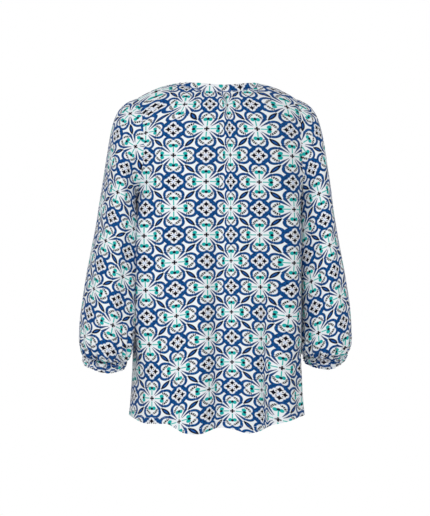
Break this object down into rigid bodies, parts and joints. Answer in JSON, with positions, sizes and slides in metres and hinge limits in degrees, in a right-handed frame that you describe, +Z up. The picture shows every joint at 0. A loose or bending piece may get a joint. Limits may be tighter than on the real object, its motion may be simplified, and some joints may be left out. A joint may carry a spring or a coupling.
{
  "type": "tunic top",
  "caption": "Loose long-sleeved printed tunic, hollow as worn, with a narrow gathered neckband, balloon sleeves and elasticated cuffs.",
  "frame": {"origin": "middle of the neck opening at shoulder height, where the garment is held", "axes": "+Z up, +Y the way the wearer faces, +X towards the wearer's right arm"},
  "size_m": [0.5794, 0.2659, 0.7281],
  "materials": {
    "panel_cloth": "matt printed viscose, white, royal blue and teal tile motifs",
    "sleeve_cloth": "matt printed viscose, as the panels",
    "cuff_cloth": "matt printed viscose ruched over an elastic",
    "neckband_cloth": "matt printed viscose, folded and topstitched"
  },
  "bodies": {
    "root": {"back_panel": "panel_cloth", "front_panel": "panel_cloth", "sleeve_right": "sleeve_cloth", "sleeve_left": "sleeve_cloth", "cuff_right": "cuff_cloth", "cuff_left": "cuff_cloth", "neckband": "neckband_cloth"}
  },
  "joints": []
}
